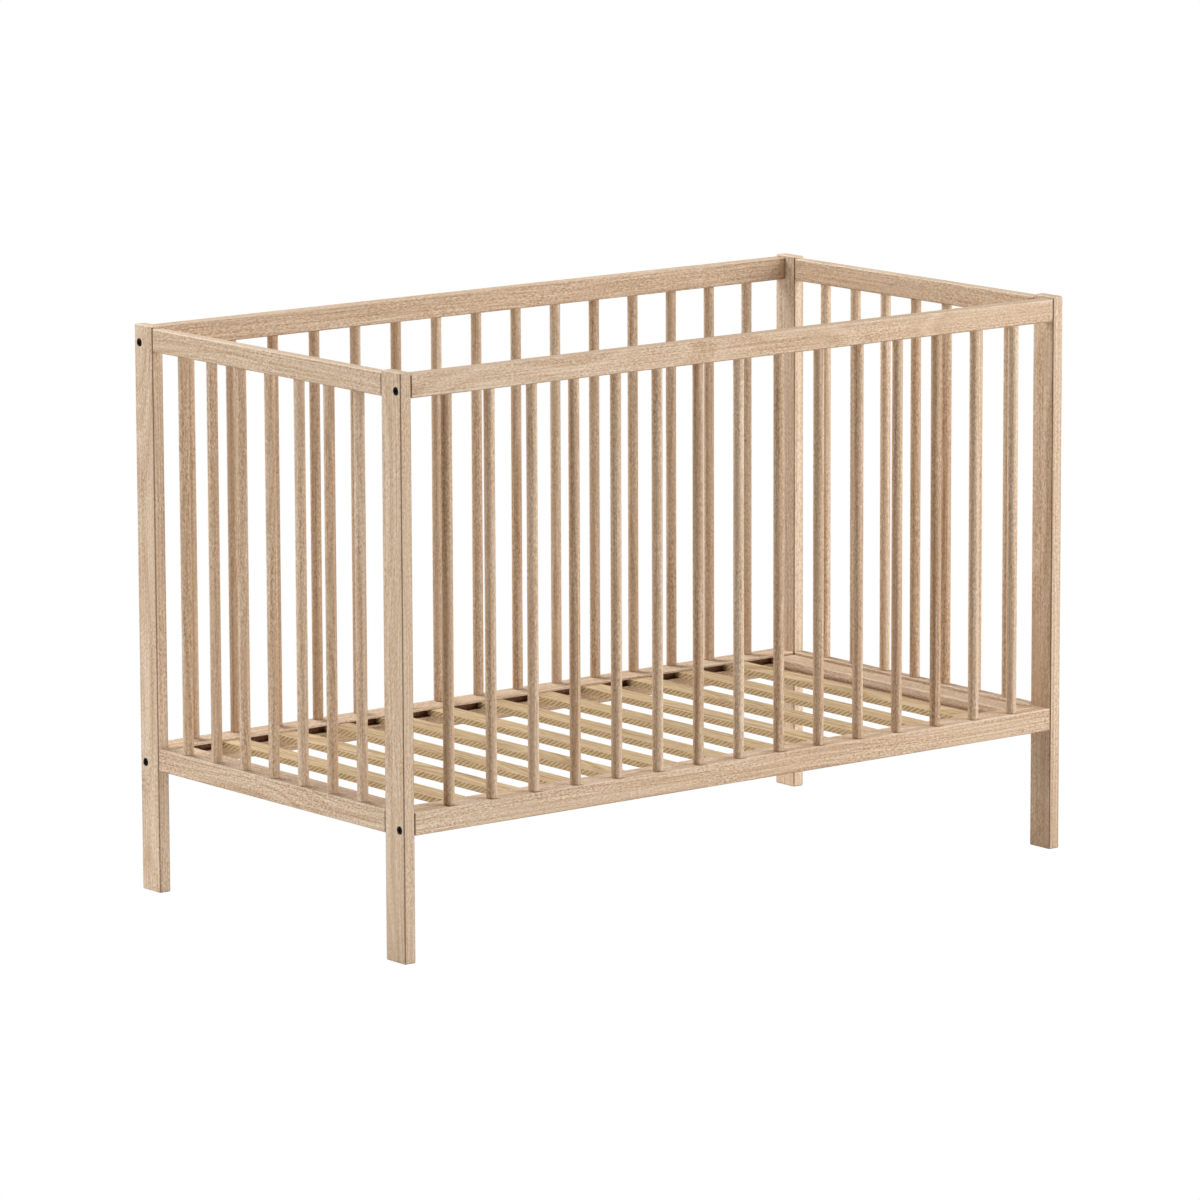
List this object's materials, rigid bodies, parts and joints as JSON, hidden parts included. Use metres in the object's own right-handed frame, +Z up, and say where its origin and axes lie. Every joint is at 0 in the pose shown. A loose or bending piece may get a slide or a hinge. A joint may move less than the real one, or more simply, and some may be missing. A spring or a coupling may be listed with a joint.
{
  "type": "baby crib",
  "caption": "Wooden baby crib with barred sides and ends between four posts and a slatted mattress base fixed at one height.",
  "frame": {"origin": "on the floor, in the middle of the crib's length and width", "axes": "+Z up, X along the long barred sides, Y across the crib from front to rear"},
  "size_m": [1.24, 0.65, 0.846],
  "materials": {
    "beech": "clear matt varnish on pale beech, fine short fleck grain along each piece",
    "pine": "bare planed pine with rougher sawn edges",
    "bolt_black": "black coated steel, satin",
    "zinc": "zinc plated steel, dull"
  },
  "bodies": {
    "root": {"post_front_left": "beech", "post_front_right": "beech", "post_rear_left": "beech", "post_rear_right": "beech", "end_upper_rail_left": "beech", "end_lower_rail_left": "beech", "end_spindle_left_1": "beech", "end_spindle_left_2": "beech", "end_spindle_left_3": "beech", "end_spindle_left_4": "beech", "end_spindle_left_5": "beech", "end_spindle_left_6": "beech", "end_spindle_left_7": "beech", "end_upper_rail_right": "beech", "end_lower_rail_right": "beech", "end_spindle_right_1": "beech", "end_spindle_right_2": "beech", "end_spindle_right_3": "beech", "end_spindle_right_4": "beech", "end_spindle_right_5": "beech", "end_spindle_right_6": "beech", "end_spindle_right_7": "beech", "side_upper_rail_front": "beech", "side_lower_rail_front_with_spindles": "beech", "base_rail_front": "beech", "side_upper_rail_rear": "beech", "side_lower_rail_rear_with_spindles": "beech", "base_rail_rear": "beech", "base_end_board_left": "beech", "base_end_board_right": "beech", "base_slat_01": "pine", "base_slat_02": "pine", "base_slat_03": "pine", "base_slat_04": "pine", "base_slat_05": "pine", "base_slat_06": "pine", "base_slat_07": "pine", "base_slat_08": "pine", "base_slat_09": "pine", "base_slat_10": "pine", "base_slat_11": "pine", "bolt_upper_front_left": "bolt_black", "barrel_nut_upper_front_left": "zinc", "bolt_upper_front_right": "bolt_black", "barrel_nut_upper_front_right": "zinc", "bolt_upper_rear_left": "bolt_black", "barrel_nut_upper_rear_left": "zinc", "bolt_upper_rear_right": "bolt_black", "barrel_nut_upper_rear_right": "zinc", "bolt_lower_front_left": "bolt_black", "barrel_nut_lower_front_left": "zinc", "bolt_lower_front_right": "bolt_black", "barrel_nut_lower_front_right": "zinc", "bolt_lower_rear_left": "bolt_black", "barrel_nut_lower_rear_left": "zinc", "bolt_lower_rear_right": "bolt_black", "barrel_nut_lower_rear_right": "zinc"}
  },
  "joints": []
}
